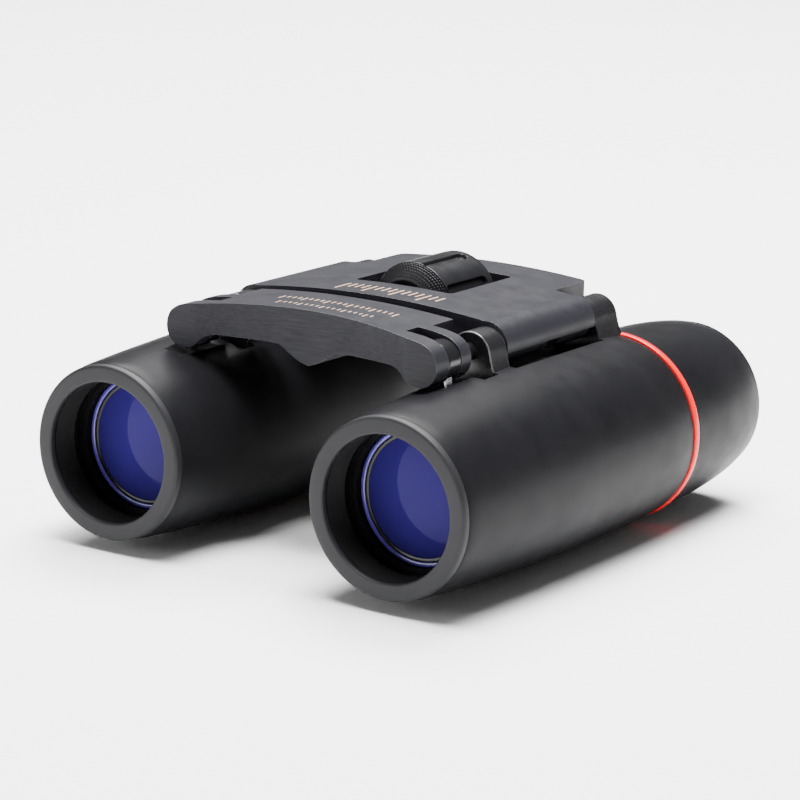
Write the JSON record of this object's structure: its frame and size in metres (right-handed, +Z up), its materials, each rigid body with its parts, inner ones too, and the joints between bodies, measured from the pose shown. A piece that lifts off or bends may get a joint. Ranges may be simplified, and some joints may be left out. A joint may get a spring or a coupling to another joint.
{
  "type": "binoculars",
  "caption": "Compact folding roof-prism binoculars with tapered rubber-coated barrels, two hinges under an arched bridge and a focus wheel in a window between them.",
  "frame": {"origin": "under the middle of the instrument, on the surface the two barrels rest on", "axes": "+Z up from the barrels to the bridge, objectives towards -Y, eyepieces towards +Y, the user's left barrel on +X"},
  "size_m": [0.0862, 0.095, 0.0437],
  "materials": {
    "soft_rubber": "matte soft-touch coat",
    "rim": "satin",
    "bridge_shell": "satin fine grain",
    "black_plastic": "matte black",
    "gloss_black": "gloss",
    "wheel_grip": "satin rubber",
    "red_trim": "gloss red",
    "coated_glass": "blue-violet coated glass",
    "clear_glass": "polished optical glass",
    "steel": "polished pins and screws",
    "spring_steel": "spring steel",
    "brass": "turned brass",
    "black_metal": "black anodised",
    "washer_plastic": "nylon"
  },
  "bodies": {
    "rear_frame": {"rear_bridge": "bridge_shell", "cover_plate": "black_plastic", "plate_screws": "steel", "hinge_rod_left": "steel", "hinge_rod_right": "steel", "hinge_screw_left": "steel", "hinge_screw_right": "steel", "thrust_washers": "washer_plastic"},
    "left_barrel": {"barrel_left": "soft_rubber", "rim_ring_left": "rim", "prism_cage_left": "black_plastic", "half_prism_left": "clear_glass", "roof_prism_left": "clear_glass", "prism_spring_left": "spring_steel", "trim_ring_left": "red_trim", "eyecup_left": "soft_rubber", "eyepiece_tube_left": "black_plastic", "field_stop_left": "black_metal", "field_lens_left": "clear_glass", "eye_lens_inner_left": "clear_glass", "eye_lens_outer_left": "coated_glass", "eyepiece_ring_left": "black_metal"},
    "right_barrel": {"barrel_right": "soft_rubber", "rim_ring_right": "rim", "prism_cage_right": "black_plastic", "half_prism_right": "clear_glass", "roof_prism_right": "clear_glass", "prism_spring_right": "spring_steel", "trim_ring_right": "red_trim", "eyecup_right": "soft_rubber"},
    "focus_knob": {"focus_wheel": "black_plastic", "focus_grip": "wheel_grip", "focus_disc": "gloss_black", "focus_screw": "steel"},
    "sliding_bridge": {"front_bridge": "bridge_shell", "focus_nut": "brass"},
    "left_objective": {"objective_cell_left": "black_metal", "objective_front_lens_left": "coated_glass", "objective_rear_lens_left": "clear_glass", "objective_ring_left": "black_metal", "drive_arm_left": "gloss_black", "drive_pin_left": "steel"},
    "right_objective": {"objective_cell_right": "black_metal", "objective_front_lens_right": "coated_glass", "objective_rear_lens_right": "clear_glass", "objective_ring_right": "black_metal", "drive_arm_right": "gloss_black", "drive_pin_right": "steel"},
    "dioptre_ring": {"dioptre_ring_right": "black_plastic"},
    "right_eyepiece": {"eyepiece_tube_right": "black_plastic", "field_stop_right": "black_metal", "field_lens_right": "clear_glass", "eye_lens_inner_right": "clear_glass", "eye_lens_outer_right": "coated_glass", "eyepiece_ring_right": "black_metal", "dioptre_pin_right": "steel"}
  },
  "joints": [
    {"name": "left_hinge", "type": "hinge", "parent": "rear_frame", "child": "left_barrel", "pos_m": [0.0228, 0, 0.035], "axis": [0, 1, 0], "range_deg": [-40, 29]},
    {"name": "right_hinge", "type": "hinge", "parent": "rear_frame", "child": "right_barrel", "pos_m": [-0.0228, 0, 0.035], "axis": [0, -1, 0], "range_deg": [-40, 29]},
    {"name": "focus_turn", "type": "hinge", "parent": "rear_frame", "child": "focus_knob", "pos_m": [0, 0, 0.0358], "axis": [0, 1, 0], "range_deg": [-108.1, 180.1]},
    {"name": "bridge_slide", "type": "slide", "parent": "rear_frame", "child": "sliding_bridge", "axis": [0, 1, 0], "range_m": [-0.0015, 0.0025]},
    {"name": "left_focus_slide", "type": "slide", "parent": "left_barrel", "child": "left_objective", "axis": [0, 1, 0], "range_m": [-0.0015, 0.0025]},
    {"name": "right_focus_slide", "type": "slide", "parent": "right_barrel", "child": "right_objective", "axis": [0, 1, 0], "range_m": [-0.0015, 0.0025]},
    {"name": "dioptre_turn", "type": "hinge", "parent": "right_barrel", "child": "dioptre_ring", "pos_m": [-0.0269, 0.025, 0.0162], "axis": [0, 1, 0], "range_deg": [-30, 30]},
    {"name": "dioptre_slide", "type": "slide", "parent": "right_barrel", "child": "right_eyepiece", "axis": [0, 1, 0], "range_m": [-0.0008, 0.0008]}
  ],
  "couplings": [
    {"joint": "focus_turn", "follows": "bridge_slide", "rad_per_m": 1256.6},
    {"joint": "left_focus_slide", "follows": "bridge_slide", "ratio": 1},
    {"joint": "right_focus_slide", "follows": "bridge_slide", "ratio": 1},
    {"joint": "dioptre_slide", "follows": "dioptre_turn", "m_per_rad": 0.0015279}
  ]
}
